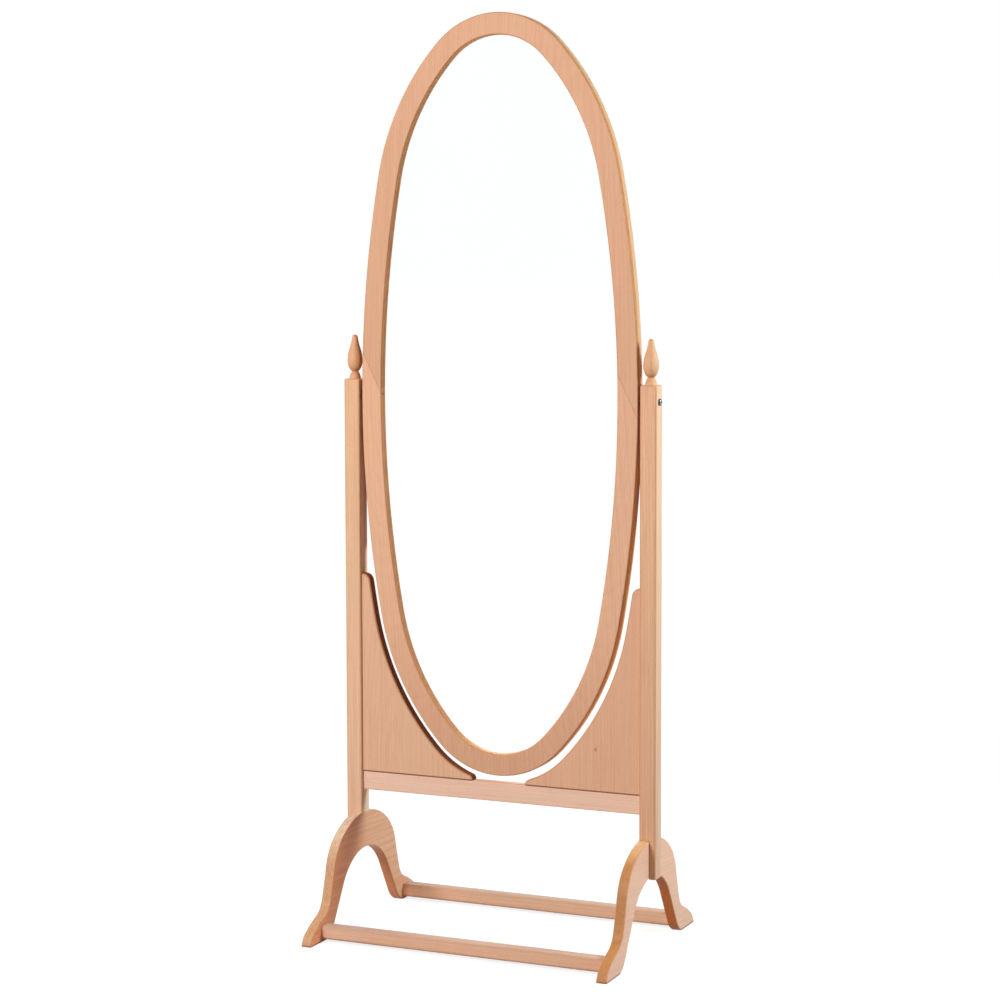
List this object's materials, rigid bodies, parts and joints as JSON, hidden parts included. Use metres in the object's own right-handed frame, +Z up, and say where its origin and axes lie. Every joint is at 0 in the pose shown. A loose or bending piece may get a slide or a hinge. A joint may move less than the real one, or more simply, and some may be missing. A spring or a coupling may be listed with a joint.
{
  "type": "cheval floor mirror",
  "caption": "Free-standing cheval floor mirror: oval wooden frame tilting between finial-topped posts on arched feet, braced by stretchers, a cross rail and curved corner panels.",
  "frame": {"origin": "on the floor, midway between the feet and under the pivot axis", "axes": "+X across the mirror to the viewer's right, +Y away from the viewer, +Z up"},
  "size_m": [0.597, 0.426, 1.6064],
  "materials": {
    "beech": "satin clear lacquer",
    "mirror": "polished",
    "backing": "matt hardboard",
    "clip_steel": "zinc plated",
    "bolt_nickel": "nickel plated",
    "washer": "matt",
    "insert_brass": "plain"
  },
  "bodies": {
    "stand": {"left_post": "beech", "right_post": "beech", "left_finial": "beech", "right_finial": "beech", "left_foot": "beech", "right_foot": "beech", "front_stretcher": "beech", "rear_stretcher": "beech", "cross_rail": "beech", "left_panel": "beech", "right_panel": "beech", "lap_dowels": "beech", "stretcher_dowels": "beech", "rail_dowels": "beech", "panel_side_dowels": "beech", "panel_base_dowels": "beech"},
    "mirror": {"frame_upper": "beech", "frame_lower": "beech", "mirror_glass": "mirror", "backing_board": "backing", "backing_clips": "clip_steel", "clip_screws": "clip_steel", "left_pivot_bolt": "bolt_nickel", "right_pivot_bolt": "bolt_nickel", "spacer_washers": "washer", "pivot_inserts": "insert_brass"}
  },
  "joints": [
    {"name": "mirror_tilt", "type": "hinge", "parent": "stand", "child": "mirror", "pos_m": [0, 0, 0.9455], "axis": [1, 0, 0], "continuous": true}
  ]
}
